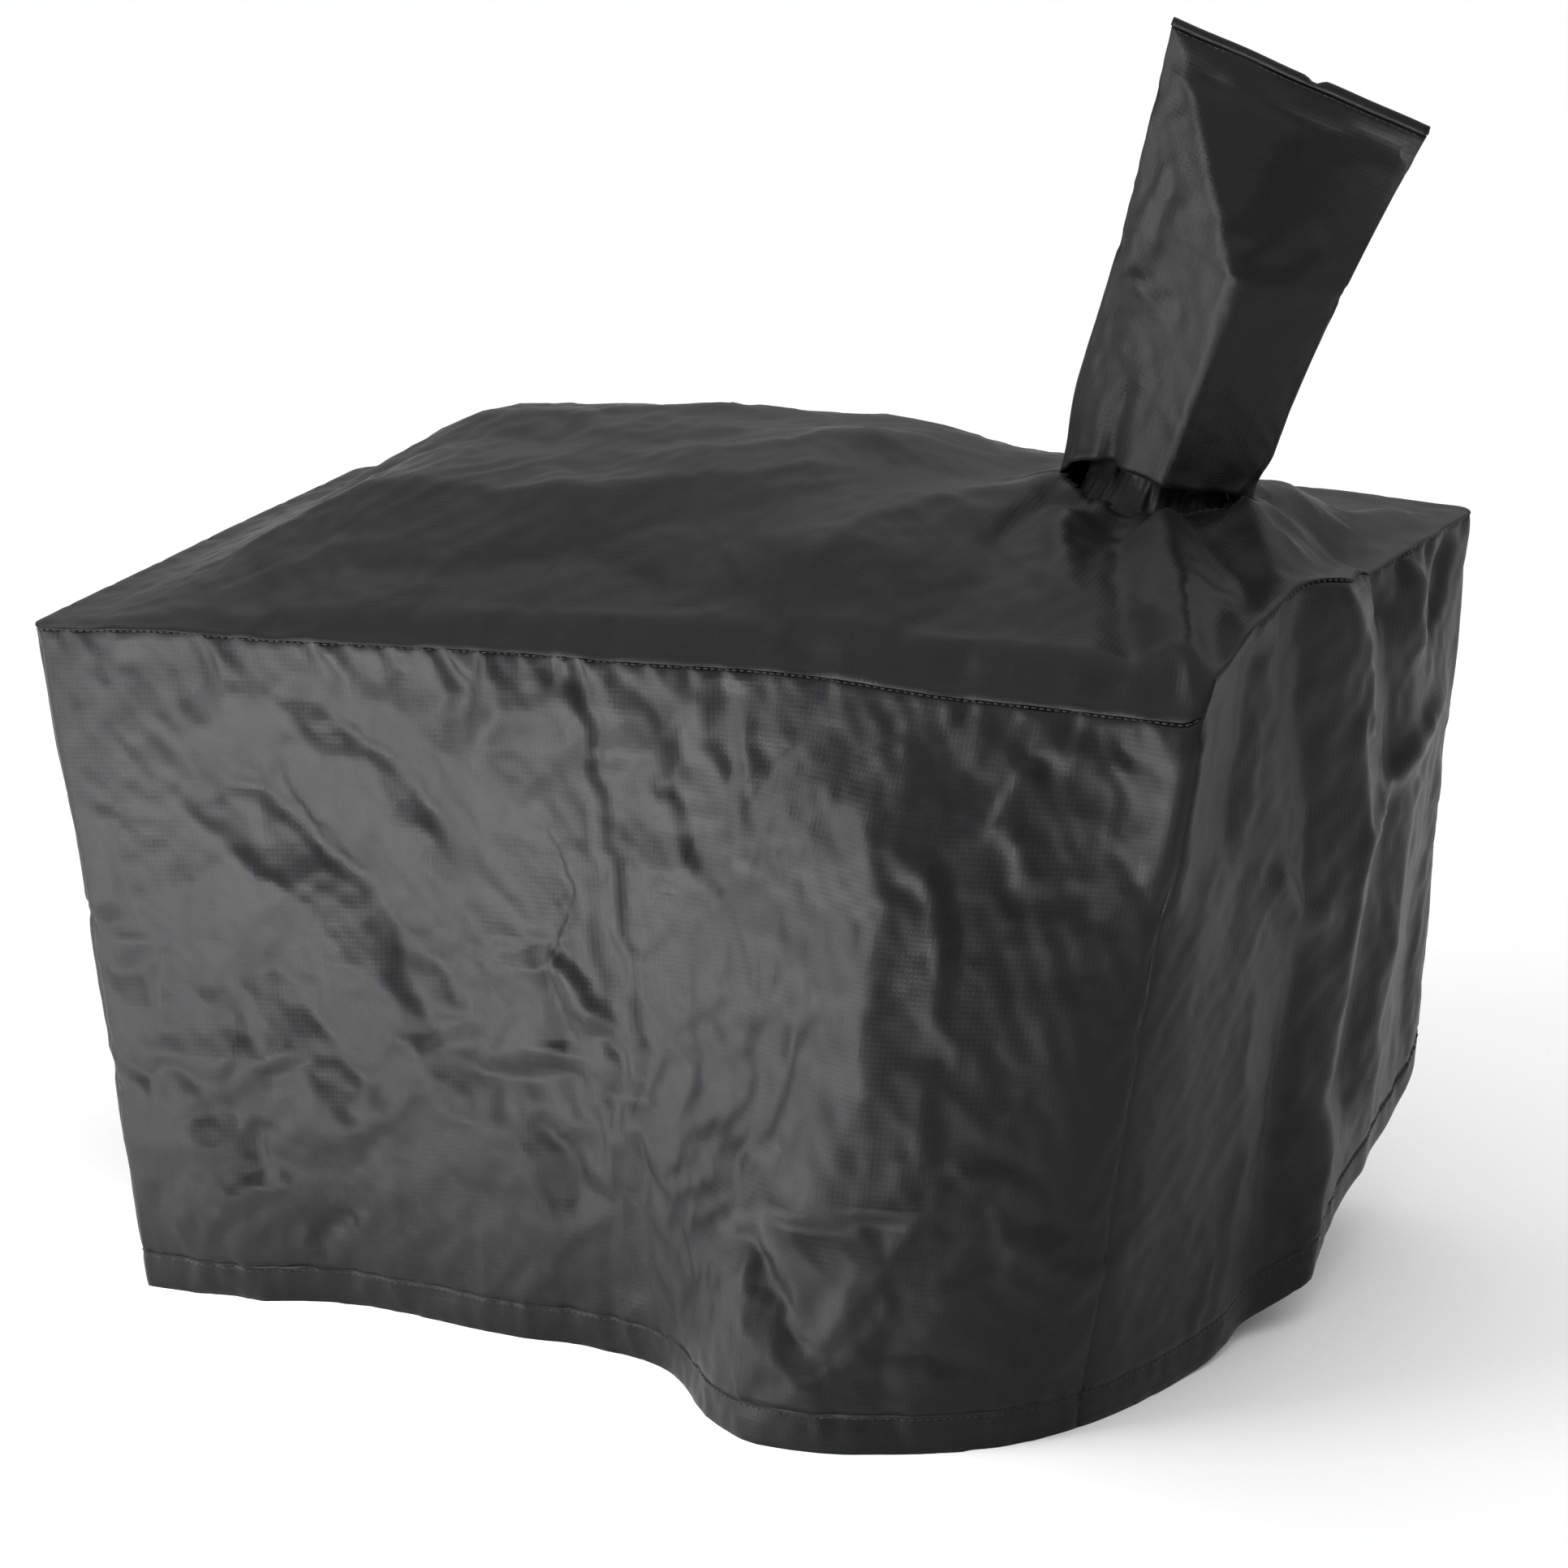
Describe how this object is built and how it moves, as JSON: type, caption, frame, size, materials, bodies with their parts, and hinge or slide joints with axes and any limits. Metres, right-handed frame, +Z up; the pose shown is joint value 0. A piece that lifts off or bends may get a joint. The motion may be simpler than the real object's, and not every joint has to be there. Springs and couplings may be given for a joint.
{
  "type": "grill cover",
  "caption": "Sewn black fabric cover for a table-top grill: box skirt open below, domed top panel and a leaning closed sleeve over the chimney.",
  "frame": {"origin": "middle of the overall box, on the floor that the hem stands on", "axes": "+X to the chimney end, +Y to the back, +Z up"},
  "size_m": [0.8096, 0.4744, 0.7657],
  "materials": {
    "cloth": "coated polyester, soft sheen",
    "hem": "coated polyester, folded twice",
    "binding": "matt woven tape",
    "thread": "matt sewing thread"
  },
  "bodies": {
    "root": {"front_panel": "cloth", "right_panel": "cloth", "back_panel": "cloth", "left_panel": "cloth", "top_panel": "cloth", "front_hem_band": "hem", "right_hem_band": "hem", "back_hem_band": "hem", "left_hem_band": "hem", "front_top_binding": "binding", "right_top_binding": "binding", "back_top_binding": "binding", "left_top_binding": "binding", "left_front_corner_binding": "binding", "front_right_corner_binding": "binding", "right_back_corner_binding": "binding", "back_left_corner_binding": "binding", "front_seam_thread": "thread", "right_seam_thread": "thread", "back_seam_thread": "thread", "left_seam_thread": "thread", "front_hem_thread": "thread", "right_hem_thread": "thread", "back_hem_thread": "thread", "left_hem_thread": "thread", "sleeve_front_panel": "cloth", "sleeve_back_panel": "cloth", "sleeve_left_seam_binding": "binding", "sleeve_right_seam_binding": "binding", "sleeve_collar": "hem", "sleeve_end_seam": "hem", "sleeve_end_thread": "thread"}
  },
  "joints": []
}
